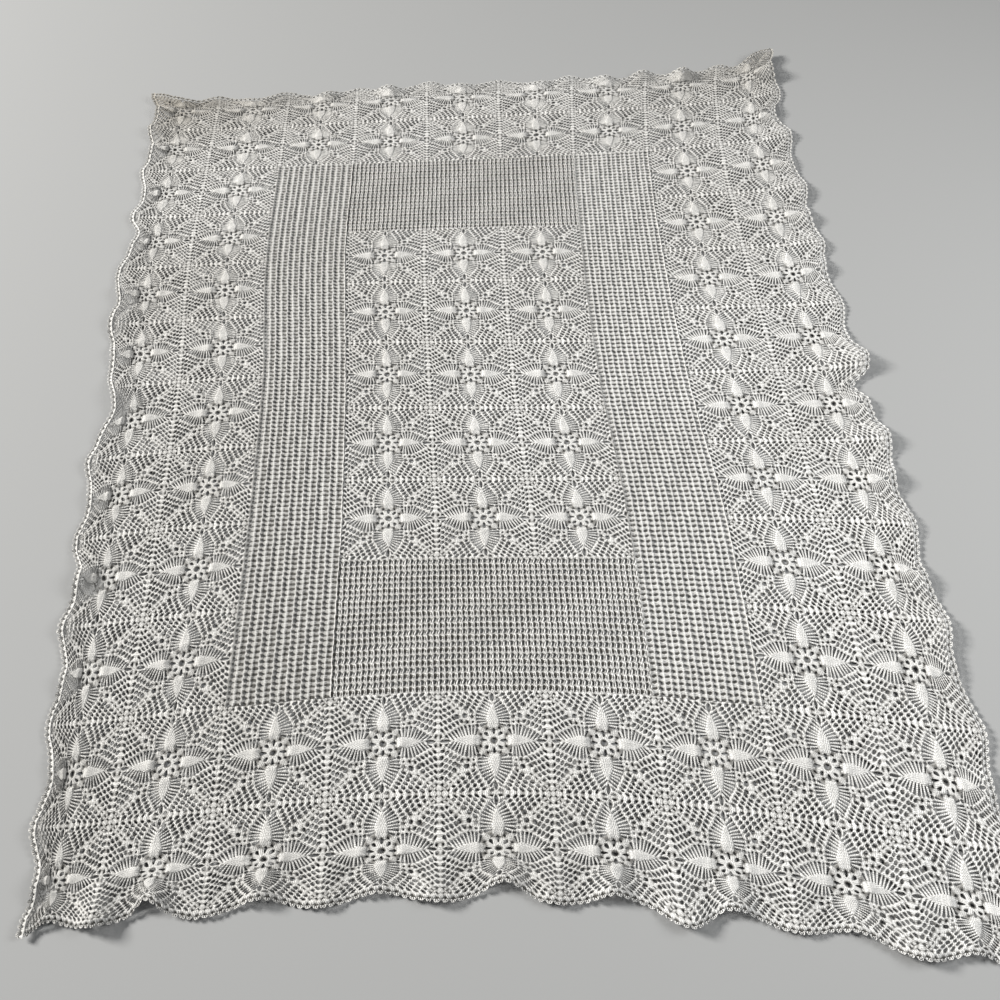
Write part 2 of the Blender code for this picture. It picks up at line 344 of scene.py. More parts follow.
@dataclass
class Chart:
    """Flat drawing of one repeat of the lace: its holes, its raised yarn and its outline."""

    width: float
    height: float
    holes: list[Values] = field(default_factory=list)
    rims: list[float] = field(default_factory=list)
    crests: list[tuple[float, float, float, float]] = field(default_factory=list)
    border: list[Triple] = field(default_factory=list)
    clearance: float = 0.55
    hole_reach: float = 14.0
    crest_spacing: float = 1.2
    crests_compared: int = 400
    weld: float = 1e-5

    def add_hole(self, outline: Values, rim: float = 0.0) -> None:
        """Adds one hole by its corners, with the height of the yarn at its rim."""
        self.holes.append(outline)
        self.rims.append(rim)

    def add_crest(self, x: float, y: float, height: float, tone: float = 1.0) -> None:
        """Adds one raised point of yarn, with a tone from 0 to 1; a lower tone darkens it further
        towards the painted shade.
        """
        self.crests.append((x, y, height, tone))

    def clear_crests(self) -> Values:
        """Raised points that lie clear of every hole and of each other."""
        points = np.array(self.crests)
        border = np.array(self.border)[:, :2]
        low, high = border.min(axis=0) + self.clearance, border.max(axis=0) - self.clearance
        keep = np.all((points[:, :2] > low) & (points[:, :2] < high), axis=1)
        for outline in self.holes:
            near = np.hypot(points[:, 0] - outline[:, 0].mean(),
                            points[:, 1] - outline[:, 1].mean()) < self.hole_reach
            idx = np.nonzero(near & keep)[0]
            if len(idx):
                keep[idx[self.too_near(points[idx, :2], outline)]] = False
        points = points[keep]
        chosen: list[Values] = []
        for point in points:
            recent = chosen[-self.crests_compared:]
            if all(abs(point[0] - o[0]) + abs(point[1] - o[1]) > self.crest_spacing
                   for o in recent):
                chosen.append(point)
        return np.array(chosen)

    def too_near(self, points: Values, outline: Values) -> Values:
        """Whether each point lies inside a hole or nearer to it than the clearance."""
        start, end = outline, np.roll(outline, -1, axis=0)
        edge = end - start
        rel = points[:, None, :] - start[None]
        cross = edge[None, :, 0] * rel[..., 1] - edge[None, :, 1] * rel[..., 0]
        outside = -cross / np.linalg.norm(edge, axis=1)[None]
        return outside.max(axis=1) < self.clearance

    def triangles(self) -> tuple[Values, Values]:
        """Joins all points of the chart into triangles and leaves the holes open.

        Returns:
            Points, one row (x, y, height, tone), and triangles, one row of three point numbers.
        """
        points: list[tuple[float, ...]] = [(*place, 1.0) for place in self.border]
        owner = [-1] * len(points)
        outside = [list(range(len(points)))]
        edges = []
        for number, outline in enumerate(self.holes):
            first = len(points)
            points += [(x, y, self.rims[number], 1.0) for x, y in outline]
            owner += [number] * len(outline)
            edges += [(first + i, first + (i + 1) % len(outline)) for i in range(len(outline))]
        crests = self.clear_crests()
        points += [tuple(p) for p in crests]
        owner += [-1] * len(crests)
        flat = [Vector(p[:2]) for p in points]
        verts, _, faces, origins, _, _ = delaunay_2d_cdt(flat, edges, outside, 1, self.weld, True)
        carried = np.array([points[o[0]][2:] if o else (0.0, 1.0) for o in origins])
        owners = np.array([owner[o[0]] if o else -1 for o in origins])
        made = np.column_stack([np.array([tuple(p) for p in verts]), carried])
        tris = np.array([f for f in faces if len(f) == 3])
        first, second, third = owners[tris].T
        inside_hole = (first >= 0) & (first == second) & (first == third)
        return made, tris[~inside_hole]


@dataclass
class LeafSquareChart:
    """Chart of one leaf square, worked in rounds from an eyelet out to the four sides.

    A place is given as (across, along): how far it lies beside the middle line of the leaf and
    how far along it from the eyelet. The first eighth of the square is drawn and then repeated.
    """

    half: float = 100.0
    eyelet: float = 4.7
    eyelet_shadow: float = 6.1
    first_round: float = 28.5
    pitch: float = 7.35
    rounds: int = 10
    stitch: float = 12.65
    net_start: int = 4
    net_edge: float = 39.0
    net_growth: float = 9.0
    comb_ends: tuple[float, ...] = (24.0, 30.5, 32.0, 31.4)
    comb_reach: float = 2.9
    comb_rim: float = 0.36
    droop: float = 1.3
    leaf_base: float = 28.0
    leaf_tip: float = 72.0
    leaf_width: float = 10.8
    leaf_height: float = 5.8
    leaf_level: float = 3.25
    # Tones of the leaf's points from its middle line to its edge: the ribs darken towards the middle
    # line, and the grooves between them are darkened as painted shade.
    rib_tones: tuple[float, ...] = (0.74, 0.86, 0.97, 1.0)
    groove_painted_shade: tuple[float, ...] = (0.66, 0.62, 0.55, 0.45)
    comb_first: float = 32.6
    comb_step: float = 4.8
    last_start: Pair = (5.2, 81.0)
    rib_height: float = 3.1
    yarn_width: float = 1.4
    round_height: float = 0.85
    border_steps: int = 34
    border_heights: Pair = (1.0, 0.4)
    eighths: list[Hole | Slot] = field(default_factory=list)
    quarters: list[Hole | Slot] = field(default_factory=list)

    def leaf_edge(self, along: float) -> float:
        """Half width of a leaf at a distance from the middle of the square."""
        t = (along - self.leaf_base) / (self.leaf_tip - self.leaf_base)
        if not 0.0 < t < 1.0:
            return 0.0
        return self.leaf_width * math.sin(math.pi * t ** 0.45) ** 0.75

    def round_line(self, k: float) -> float:
        """Distance from the middle of the square to the middle of round k."""
        return self.first_round + self.pitch * k

    def comb_end(self, k: float) -> Pair:
        """Outer end of comb slot k, where the net of its round starts."""
        low = min(int(k), len(self.comb_ends) - 1)
        if k <= len(self.comb_ends) - 1:
            high = min(low + 1, len(self.comb_ends) - 1)
            across = self.comb_ends[low] + (k - low) * (self.comb_ends[high] - self.comb_ends[low])
        else:
            across = self.net_edge - self.stitch + self.comb_reach - (
                k - self.net_start) * (self.stitch - self.net_growth)
        return across, self.round_line(k) - self.droop * max(0.0, k - self.net_start)

    def comb_start(self, k: float) -> Pair:
        """Inner end of comb slot k, on the edge of the leaf or beside the lens hole."""
        on_leaf = min(k, self.rounds - 2.0)
        along = self.comb_first + self.comb_step * on_leaf
        across = self.leaf_edge(along) + 1.0
        past = k - on_leaf
        return (across + past * (self.last_start[0] - across),
                along + past * (self.last_start[1] - along))

    def net_places(self, k: int) -> list[Pair]:
        """Middles of the net holes of round k, from beside the diagonal band to the comb."""
        count = k - self.net_start + 1
        edge = self.net_edge + self.net_growth * (k - self.net_start)
        droop = self.droop * max(0, k - self.net_start)
        return [(edge - self.stitch * j, self.round_line(k) - droop * 0.35 ** (count - j))
                for j in range(count)]

    def place_rounds(self) -> None:
        """Comb slots beside the leaves and net holes beyond them, round by round."""
        for k in range(self.rounds):
            self.eighths.append(Slot(self.comb_start(k), self.comb_end(k), 0.5, 2.3))
            for j, (across, along) in enumerate(self.net_places(k)):
                if j == 0 and k > self.net_start:
                    size = 4.4 - 0.42 * (k - self.net_start)
                    self.eighths.append(Hole(across, along, size, size * 0.86, fullness=2.3))
                else:
                    self.eighths.append(Hole(across, along, 4.1, 2.5, angle=0.6, fullness=1.9))

    def place_middle(self) -> None:
        """Holes round the eyelet, along the diagonals and beyond the leaf tips."""
        self.quarters.append(Slot((0.0, 12.0), (0.0, 24.6), 1.5, 3.8))
        self.quarters.append(Hole(0.0, 86.4, 9.0, 3.0, angle=math.pi / 2, tipped=True, fullness=1.7))
        diagonal = math.sqrt(0.5)
        self.quarters.append(Slot((13.2 * diagonal, 13.2 * diagonal),
                                  (22.6 * diagonal, 22.6 * diagonal), 1.9, 3.2))
        for place, size in ((28.6, 3.2), (37.4, 2.0), (50.2, 4.6)):
            self.quarters.append(Hole(place, place, size, size * 0.88, angle=math.pi / 4))
        for place in (64.0, 72.0, 80.0, 87.6, 94.6):
            self.quarters.append(Hole(place, place, 3.0, 1.3, angle=math.pi / 4, corners=4,
                                      tipped=True))
        self.eighths.append(Hole(11.6, 23.4, 2.8, 2.1, angle=math.radians(-40)))
        self.eighths.append(Hole(37.6, 47.5, 3.0, 2.3, angle=math.radians(15)))
        self.eighths.append(Hole(8.2, 94.8, 3.4, 1.9))

    def copies(self, outline: Values, count: int) -> list[Values]:
        """Copies of an outline in all the eighths or quarters of the square.

        Args:
            outline: Points in the first eighth, one row each.
            count: 8 for what lies in an eighth, 4 for what lies on a line of symmetry.

        Returns:
            The copies, all with the same turning sense.
        """
        made = []
        for c, s in QUARTER_TURNS:
            x = outline[:, 0] * c - outline[:, 1] * s
            y = outline[:, 0] * s + outline[:, 1] * c
            made.append(np.stack([x, y], axis=1))
            if count == 8:
                mx = -outline[:, 0] * c - outline[:, 1] * s
                my = -outline[:, 0] * s + outline[:, 1] * c
                made.append(np.stack([mx, my], axis=1)[::-1])
        return made

    def raise_all(self, chart: Chart, across: float, along: float, height: float,
                  count: int, tone: float = 1.0) -> None:
        """Adds one raised point to all the eighths or quarters of the square."""
        for point in self.copies(np.array([[across, along]]), count):
            chart.add_crest(point[0, 0], point[0, 1], height, tone)

    def raise_leaf(self, chart: Chart) -> None:
        """Raised points of the four leaves: a lifted base that falls away to the tip.

        The ribs of the comb run on into the leaf as light lines that darken towards its middle line,
        with painted shade in the grooves between them.
        """
        span = self.leaf_tip - self.leaf_base
        rows = math.floor(2 * (self.leaf_tip - self.comb_first) / self.comb_step)
        for row in range(-1, rows + 1):
            along = self.comb_first + self.comb_step * row / 2
            t = (along - self.leaf_base) / span
            edge = self.leaf_edge(along)
            top = self.leaf_height * min(1.0, (6.0 * max(t, 0.02)) ** 0.6) * (1.0 - 0.86 * t)
            tones = self.rib_tones if row % 2 else self.groove_painted_shade
            for share, tone in zip((0.0, 0.42, 0.72, 0.98), tones):
                if edge < 5.0 and share in (0.42, 0.72):
                    continue
                height = self.leaf_level + max(0.0, top - self.leaf_level) * (1 - share * share) ** 0.7
                self.raise_all(chart, share * edge, along - 2.4 * share * share, height,
                               8 if share else 4, tone)

    def raise_ribs(self, chart: Chart) -> None:
        """Raised yarn between two comb slots, from the leaf to the net."""
        for k in range(self.rounds):
            (x0, y0), (x1, y1) = self.comb_start(k + 0.5), self.comb_end(k + 0.5)
            for share in (-0.02, 0.12, 0.30, 0.48, 0.66, 0.84, 1.02):
                x, y = x0 + share * (x1 - x0), y0 + share * (y1 - y0)
                if x < y < self.half - 2.5:
                    self.raise_all(chart, x, y, self.rib_height - 0.5 * abs(share - 0.5), 8)

    def raise_net(self, chart: Chart) -> None:
        """Raised yarn that crosses in slanting lines between the net holes."""
        node = -self.stitch / 2
        for k in range(self.net_start, self.rounds):
            for across, along in self.net_places(k):
                spots = [(across + node + share * self.net_growth, along + share * self.pitch,
                          2.4) for share in (0.0, 0.28, 0.5, 0.72)]
                spots.append((across + self.net_growth / 2, along + self.pitch / 2, 1.8))
                for x, y, height in spots:
                    if x < y - 1.0 and y < self.half - 2.0:
                        self.raise_all(chart, x, y, height, 8)

    def raise_rest(self, chart: Chart) -> None:
        """Raised rings about the eyelet, pads on the diagonals, and the diagonal bands."""
        rings = ((self.eyelet_shadow, 0.1, 12, 0.0), (8.8, 1.0, 12, 0.0), (11.2, 0.6, 8, 0.5),
                 (17.5, 0.8, 16, 0.5), (26.4, 0.6, 16, 0.5))
        for ring, height, count, start in rings:
            for i in range(count):
                turn = 2 * math.pi * (i + start) / count
                chart.add_crest(ring * math.cos(turn), ring * math.sin(turn), height)
        pads = ((20.3, 20.3, 0.6), (24.4, 19.4, 0.6), (33.0, 33.0, 0.9), (42.4, 42.4, 0.7),
                (32.6, 38.4, 1.1), (37.2, 42.2, 0.6), (41.4, 46.4, 1.1), (33.4, 44.0, 0.7),
                (44.6, 54.0, 0.6), (40.6, 52.4, 1.1), (34.0, 51.6, 1.0), (44.0, 59.0, 1.1),
                (57.0, 57.0, 0.9), (52.0, 60.4, 0.7), (50.6, 56.4, 1.0), (46.5, 48.4, 0.8),
                (3.9, 79.6, 1.2), (4.9, 84.6, 1.2), (4.9, 89.0, 1.1), (3.8, 93.8, 1.0))
        for x, y, height in pads:
            self.raise_all(chart, x, y, height, 4 if x == y else 8)
        for i in range(12):
            place = 59.0 + 3.3 * i
            for aside in (0.0, 3.2, 5.6):
                height = 0.8 + 0.35 * (-1) ** (i + round(aside))
                if place + aside < self.half - 2.0:
                    self.raise_all(chart, place - aside, place + aside, height, 8 if aside else 4)

    def chart(self) -> Chart:
        """Draws the whole square."""
        self.place_middle()
        self.place_rounds()
        made = Chart(2 * self.half, 2 * self.half)
        made.add_hole(Hole(0.0, 0.0, self.eyelet, self.eyelet, corners=12).outline())
        for hole in self.eighths:
            rim = self.comb_rim if isinstance(hole, Slot) else 0.0
            for outline in self.copies(hole.outline(), 8):
                made.add_hole(outline, rim)
        for hole in self.quarters:
            for outline in self.copies(hole.outline(), 4):
                made.add_hole(outline)
        self.raise_leaf(made)
        self.raise_ribs(made)
        self.raise_net(made)
        self.raise_rest(made)
        for hole in self.quarters:
            for x, y in grown(hole.outline(), self.yarn_width):
                self.raise_all(made, x, y, self.round_height, 4)
        made.border = square_border(self.half, self.border_steps, *self.border_heights)
        return made


def grown(outline: Values, width: float) -> Values:
    """Points that lie outside the corners of an outline by a width."""
    middle = outline.mean(axis=0)
    away = outline - middle
    return middle + away * (1 + width / np.linalg.norm(away, axis=1, keepdims=True))


def square_border(half: float, steps: int, high: float, low: float) -> list[Triple]:
    """Points round the outline of a square, in order, high and low by turns."""
    across = [(-half + 2 * half * i / steps, -half) for i in range(steps)]
    points = []
    for c, s in QUARTER_TURNS:
        points += [(x * c - y * s, x * s + y * c, low if i % 2 else high)
                   for i, (x, y) in enumerate(across)]
    return points


@dataclass
class MeshChart:
    """Chart of two rows of the plain mesh, a straight one and a leaning one.

    It is drawn with its rows one above the other, stitches side by side, and then turned for
    the panels whose rows stand upright.
    """

    stitch: float
    row: float
    lean: float
    upright: bool = False
    straight: Pair = (2.5, 3.1)
    leaning: Pair = (1.8, 2.9)
    reach: float = 0.36
    slit: Pair | None = None
    rib: float = 3.6
    post: float = 2.9

    def turn(self, places: Values) -> Values:
        """Places in the chart, turned by a quarter where the rows stand upright."""
        return np.stack([-places[:, 1], places[:, 0]], axis=1) if self.upright else places

    def chart(self) -> Chart:
        """Draws two stitches, one in each row."""
        size = (2 * self.row, self.stitch) if self.upright else (self.stitch, 2 * self.row)
        made = Chart(*size, clearance=0.3)
        quarter, half = self.stitch / 4, self.stitch / 2
        reach = self.reach * self.row
        for middle, widths, lean in ((-self.row / 2, self.straight, 0.0),
                                     (self.row / 2, self.leaning, self.lean)):
            aside = math.tan(lean) * reach
            slot = Slot((-quarter - aside, middle - reach), (-quarter + aside, middle + reach), *widths)
            made.add_hole(self.turn(slot.outline()))
            if self.slit:
                slit = Hole(quarter, middle - 0.12 * self.row, *self.slit,
                            angle=math.pi / 2 - lean, corners=4, tipped=True)
                made.add_hole(self.turn(slit.outline()))
            for share in (-0.26, 0.0, 0.26):
                shift = 1.1 * math.tan(lean) * share * self.row
                for x in (quarter - 1.9, quarter + 1.9):
                    self.raise_point(made, x + shift, middle + share * self.row, self.post)
        for x in (-quarter, 0.0, quarter):
            self.raise_point(made, x, 0.0, self.rib)
        near = [(x, -1, self.rib) for x in (-half, -quarter, 0, quarter, half)]
        side = [(half, -0.5, self.post), (half, 0, self.rib), (half, 0.5, self.post)]
        ring = near + side + [(-x, -y, height) for x, y, height in near + side]
        places = self.turn(np.array([(x, y * self.row) for x, y, _ in ring]))
        made.border = [(x, y, height) for (x, y), (_, _, height) in zip(places, ring)]
        return made

    def raise_point(self, chart: Chart, x: float, y: float, height: float) -> None:
        """Adds one raised point."""
        place = self.turn(np.array([[x, y]]))[0]
        chart.add_crest(place[0], place[1], height)


@dataclass
class ShellChart:
    """Chart of one shell of the edging: a fan of stitches with a scalloped rim."""

    width: float
    depth: float = 12.0
    valley: float = 5.0
    stitches: int = 5

    def chart(self) -> Chart:
        """Draws the shell, its foot on the rim of the cloth and its scallop outwards."""
        made = Chart(self.width, self.depth, clearance=0.25)
        half = self.width / 2
        rim = []
        for i in range(1, 8):
            turn = math.pi * i / 8
            ripple = 0.9 + 0.1 * (i % 2)
            rim.append((half * 0.98 * math.cos(turn),
                        self.valley + (self.depth - self.valley) * ripple * math.sin(turn), 1.6))
        made.border = [(-half, 0.0, 2.8), (-half / 3, 0.0, 2.8), (half / 3, 0.0, 2.8),
                       (half, 0.0, 2.8), (half, self.valley, 0.4), *rim,
                       (-half, self.valley, 0.4)]
        for i in range(self.stitches):
            turn = math.pi * (0.14 + 0.72 * i / (self.stitches - 1))
            made.add_crest(6.6 * math.cos(turn) * 0.75, 1.4 + 6.2 * math.sin(turn), 3.2)
            if i < self.stitches - 1:
                turn += math.pi * 0.72 / (self.stitches - 1) / 2
                made.add_hole(Hole(5.9 * math.cos(turn) * 0.75, 1.4 + 5.4 * math.sin(turn),
                                   1.9, 0.72, angle=turn, corners=4, tipped=True).outline())
        return made


@dataclass(frozen=True)
class YarnFinish:
    """Cotton yarn: its own colour, painted shade in its low parts and on its back faces, yellowing with
    painted shade, and its stitch relief.
    """

    name: str
    raised: Triple = (0.89, 0.88, 0.85)
    # Painted shade: the lower the yarn lies, the nearer its colour comes to this near-black; the colour
    # above is the yarn's own.
    painted_hollow_shade: Triple = (0.075, 0.07, 0.06)
    # Yellowing and painted shade multiply the colour by this tint.
    yellowed_and_shaded: Triple = (0.46, 0.43, 0.38)
    # Painted shade: back faces are near-black, though the yarn's underside is white.
    underside: Triple = (0.07, 0.06, 0.05)
    roughness: float = 0.88
    sheen: float = 0.25
    stitch_width: float = 3.0
    relief: float = 0.55
    relief_depth: float = 0.8 * MM
    shine: float = 0.25

    def material(self, twist: bpy.types.NodeTree) -> Material:
        """Makes the finish.

        Args:
            twist: The shared node group of stitches and yarn fibres.

        Returns:
            The material, which reads the lace's own attributes and stitch map.
        """
        made = bpy.data.materials.new(self.name)
        made.use_nodes = True
        nodes, links = made.node_tree.nodes, made.node_tree.links
        shader = nodes["Principled BSDF"]
        shader.inputs["Roughness"].default_value = self.roughness
        shader.inputs["Sheen Weight"].default_value = self.sheen
        shader.inputs["Specular IOR Level"].default_value = self.shine
        stitch = nodes.new("ShaderNodeUVMap")
        stitch.uv_map = STITCH_MAP
        group = nodes.new("ShaderNodeGroup")
        group.node_tree = twist
        group.inputs["Stitch Width"].default_value = self.stitch_width
        links.new(stitch.outputs["UV"], group.inputs["Stitch Place"])
        # Painted shade: the lower the yarn lies, the darker its colour, down to near-black.
        crest = self.attribute(nodes, "crest")
        age = self.attribute(nodes, "age")
        lit = nodes.new("ShaderNodeMath")
        lit.operation = "MULTIPLY"
        links.new(crest, lit.inputs[0])
        # Painted shade between the stitch posts darkens the colour further.
        links.new(group.outputs["Painted Stitch Shade"], lit.inputs[1])
        shade = self.mix(nodes, links, lit.outputs["Value"], (*self.painted_hollow_shade, 1.0), (*self.raised, 1.0))
        # Yellowing of the head corners, and painted shade towards the head and the left side.
        yellowed_and_shaded_colour = self.mix(nodes, links, age, shade, (*self.yellowed_and_shaded, 1.0), "MULTIPLY")
        # Painted shade on the back faces.
        facing = nodes.new("ShaderNodeNewGeometry")
        sides = self.mix(nodes, links, facing.outputs["Backfacing"], yellowed_and_shaded_colour, (*self.underside, 1.0))
        links.new(sides, shader.inputs["Base Color"])
        relief = nodes.new("ShaderNodeBump")
        relief.inputs["Strength"].default_value = self.relief
        relief.inputs["Distance"].default_value = self.relief_depth
        links.new(group.outputs["Height"], relief.inputs["Height"])
        links.new(relief.outputs["Normal"], shader.inputs["Normal"])
        return made

    def attribute(self, nodes: bpy.types.Nodes, name: str) -> Socket:
        """Number that the lace carries at each point."""
        node = nodes.new("ShaderNodeAttribute")
        node.attribute_name = name
        return node.outputs["Fac"]

    def mix(self, nodes: bpy.types.Nodes, links: bpy.types.NodeLinks,
            share: Socket, low: object, high: object,
            blend: str = "MIX") -> Socket:
        """Mixes two colours, each a plain colour or another node's socket."""
        node = nodes.new("ShaderNodeMix")
        node.data_type = "RGBA"
        node.blend_type = blend
        links.new(share, node.inputs["Factor"])
        for name, value in (("A", low), ("B", high)):
            socket = next(i for i in node.inputs if i.name == name and i.type == "RGBA")
            if isinstance(value, tuple):
                socket.default_value = value
            else:
                links.new(value, socket)
        return next(o for o in node.outputs if o.type == "RGBA")


def twist_group() -> bpy.types.NodeTree:
    """Node group of the stitches' posts and the yarn's fibres, as relief and as painted shade between
    the posts, for every yarn finish.
    """
    tree = bpy.data.node_groups.new("stitch_and_twist", "ShaderNodeTree")
    side = tree.interface.new_socket
    side(name="Stitch Place", in_out="INPUT", socket_type="NodeSocketVector")
    width = side(name="Stitch Width", in_out="INPUT", socket_type="NodeSocketFloat")
    width.default_value = 2.0
    side(name="Height", in_out="OUTPUT", socket_type="NodeSocketFloat")
    side(name="Painted Stitch Shade", in_out="OUTPUT", socket_type="NodeSocketFloat")
    nodes, links = tree.nodes, tree.links
    start, end = nodes.new("NodeGroupInput"), nodes.new("NodeGroupOutput")
    parts = nodes.new("ShaderNodeSeparateXYZ")
    links.new(start.outputs["Stitch Place"], parts.inputs["Vector"])

    def math_node(kind: str, first: object, second: object) -> Socket:
        """One Math node fed by sockets or plain numbers."""
        node = nodes.new("ShaderNodeMath")
        node.operation = kind
        for socket, value in zip(node.inputs, (first, second)):
            if isinstance(value, (int, float)):
                socket.default_value = value
            else:
                links.new(value, socket)
        return node.outputs["Value"]

    turn = math_node("DIVIDE", 2 * math.pi * 1000, start.outputs["Stitch Width"])
    slant = math_node("MULTIPLY", parts.outputs["Y"], -0.3)
    posts_at = math_node("MULTIPLY", math_node("ADD", parts.outputs["X"], slant), turn)
    posts = math_node("SINE", posts_at, 0.0)
    ply_at = math_node("MULTIPLY", math_node("SUBTRACT", parts.outputs["Y"],
                                             math_node("MULTIPLY", parts.outputs["X"], 0.8)),
                       math_node("MULTIPLY", turn, 1.7))
    ply = math_node("SINE", ply_at, 0.0)
    fibres = nodes.new("ShaderNodeTexNoise")
    fibres.inputs["Scale"].default_value = 900.0
    fibres.inputs["Detail"].default_value = 3.0
    links.new(start.outputs["Stitch Place"], fibres.inputs["Vector"])
    both = math_node("ADD", posts, math_node("MULTIPLY", ply, 0.35))
    height = math_node("ADD", both, math_node("MULTIPLY", fibres.outputs["Fac"], 0.6))
    links.new(height, end.inputs["Height"])
    # Painted shade: the colour darkens where the stitch relief is low.
    painted_stitch_shade = math_node("ADD", 0.74, math_node("MULTIPLY", height, 0.2))
    links.new(painted_stitch_shade, end.inputs["Painted Stitch Shade"])
    return tree


@dataclass
class LacePanel:
    """One piece of the lace, charted, repeated and laid on the shape of its solid."""

    node: str
    work: Work
    first_u: float
    first_v: float
    last_u: float
    last_v: float
    rise: float = 2.6 * MM
    uneven: float = 0.22
    # Yarn at least this high, in millimetres, keeps its own colour; lower yarn gets painted shade.
    shade_free_height: float = 1.05
    weld_steps: float = 2e4
    weld_row: int = 10_000_000
    flat_margin: float = 0.005

    @property
    def size(self) -> Pair:
        """Width and length of the flat piece, in metres."""
        return ((self.last_u - self.first_u) * SQUARE, (self.last_v - self.first_v) * SQUARE)

    def repeats(self, chart: Chart) -> tuple[int, int]:
        """Number of repeats across and along."""
        width, length = self.size
        return round(width / MM / chart.width), round(length / MM / chart.height)

    def places(self, chart: Chart, points: Values) -> tuple[Values, Values]:
        """Places on the cloth of all points of all repeats, in squares."""
        across, along = self.repeats(chart)
        i, j = np.meshgrid(np.arange(across), np.arange(along), indexing="ij")
        step_u = (self.last_u - self.first_u) / across
        step_v = (self.last_v - self.first_v) / along
        u = self.first_u + (i.ravel()[:, None] + 0.5 + points[None, :, 0] / chart.width) * step_u
        v = self.first_v + (j.ravel()[:, None] + 0.5 - points[None, :, 1] / chart.height) * step_v
        return u.ravel(), v.ravel()

    def stitch_places(self, points: Values, tris: Values) -> Values:
        """Stitch map of one repeat: across the posts and along them, one row a corner."""
        corners = points[tris][:, :, :2] * MM
        if self.work is Work.LEAF_SQUARES:
            middle = corners.mean(axis=1)
            swap = np.abs(middle[:, 0]) > np.abs(middle[:, 1])
            corners[swap] = corners[swap][:, :, ::-1]
            corners = np.where((corners.mean(axis=1) < 0)[:, None, :], -corners, corners)
        elif self.work in (Work.MESH_LEFT, Work.MESH_RIGHT):
            corners = corners[:, :, ::-1]
        return corners.reshape(-1, 2)

    def age(self, u: Values, v: Values) -> Values:
        """How far the yarn is yellowed and darkened: yellowed most in the two corners of the head, with
        painted shade towards the head and along the left side.
        """
        left_corner = np.exp(-((u / 2.0) ** 2 + (v / 1.1) ** 2))
        right_corner = np.exp(-(((ACROSS - u) / 1.6) ** 2 + (v / 1.0) ** 2))
        # Painted shade: darker along the left side.
        left_painted_shade = np.exp(-((u / 4.6) ** 2)) * smooth_step(v, 2.6, 4.6)
        foot = smooth_step(v, 8.6, 11.4) * (0.55 + 0.45 * np.exp(-((u - 4.4) / 1.9) ** 2))
        patches = 0.06 * np.sin(1.9 * u + 0.7 * v) * np.sin(1.3 * v - 0.8 * u)
        # Painted shade: darker towards the head.
        head = 1 - smooth_step(v, 1.5, 6.5)
        return np.clip(0.75 * left_corner + 0.45 * right_corner + 0.26 * left_painted_shade
                       + 0.22 * head + 0.03 * foot + 0.05 + patches, 0, 1)

    def build(self, chart: Chart, cloth: LaidCloth, finish: Material) -> bpy.types.Object:
        """Builds the piece as one mesh.

        Args:
            chart: Drawing of the repeat.
            cloth: Laid shape of the whole bedspread.
            finish: Material of the yarn.

        Returns:
            The piece, riding on the bedspread in place of its solid.
        """
        points, tris = chart.triangles()
        u, v = self.places(chart, points)
        copies = len(u) // len(points)
        height = np.tile(points[:, 2], copies)
        tone = np.tile(points[:, 3], copies)
        faces = (tris[None] + (np.arange(copies) * len(points))[:, None, None]).reshape(-1, 3)
        stitches = np.tile(self.stitch_places(points, tris), (copies, 1))
        keys = np.round(np.stack([u, v], axis=1) * self.weld_steps).astype(np.int64)
        _, first, back = np.unique(keys[:, 0] * self.weld_row + keys[:, 1],
                                   return_index=True, return_inverse=True)
        u, v, height, tone = u[first], v[first], height[first], tone[first]
        faces = back.reshape(-1)[faces]
        return self.lay(u, v, height, tone, faces, stitches, cloth, finish)

    def lay(self, u: Values, v: Values, height: Values, tone: Values,
            faces: Values, stitches: Values, cloth: LaidCloth,
            finish: Material) -> bpy.types.Object:
        """Lays flat triangles on the cloth and makes the piece of them."""
        flat_u, flat_v = u, v
        corner = np.stack([u, -v], axis=1)[faces[:200]]
        edge, other = corner[:, 1] - corner[:, 0], corner[:, 2] - corner[:, 0]
        if (edge[:, 0] * other[:, 1] - edge[:, 1] * other[:, 0]).sum() < 0:
            faces = faces[:, ::-1]
            stitches = stitches.reshape(-1, 3, 2)[:, ::-1].reshape(-1, 2)
        u, v = cloth.wandered(u, v)
        place = cloth.points(u, v)
        uneven = 1 + self.uneven * np.sin(23 * u + 5 * v) * np.sin(19 * v - 7 * u)
        place[:, 2] += self.rise + height * MM * uneven
        mesh = bpy.data.meshes.new(self.node + "_lace")
        mesh.from_pydata(place.tolist(), [], faces.tolist())
        span = max(self.last_u - self.first_u, self.last_v - self.first_v, 0.1)
        corners = faces.reshape(-1)
        flat = np.stack([flat_u - flat_u.min(), flat_v.max() - flat_v], axis=1)[corners]
        flat /= max(np.ptp(flat_u), np.ptp(flat_v), span)
        flat = self.flat_margin + (1 - 2 * self.flat_margin) * flat
        for name, places in ((FLAT_MAP, flat), (STITCH_MAP, stitches)):
            layer = mesh.uv_layers.new(name=name)
            layer.uv.foreach_set("vector", places.astype(np.float32).ravel())
        # Painted shade from the height of the yarn and the tone of its point.
        crest = np.clip(height / self.shade_free_height, 0, 1) * tone
        # Yellowing, with painted shade towards the head and the left side, is carried as its own
        # attribute.
        carried = {"crest": crest, "age": self.age(u, v)}
        for name, values in carried.items():
            layer = mesh.attributes.new(name, "FLOAT", "POINT")
            layer.data.foreach_set("value", values.astype(np.float32))
        mesh.shade_smooth()
        mesh.materials.append(finish)
        piece = bpy.data.objects.new(self.node + "_lace", mesh)
        bpy.context.scene.collection.objects.link(piece)
        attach(piece, BODY)
        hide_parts(self.node)
        log.info("%s: %d triangles", piece.name, len(faces))
        return piece


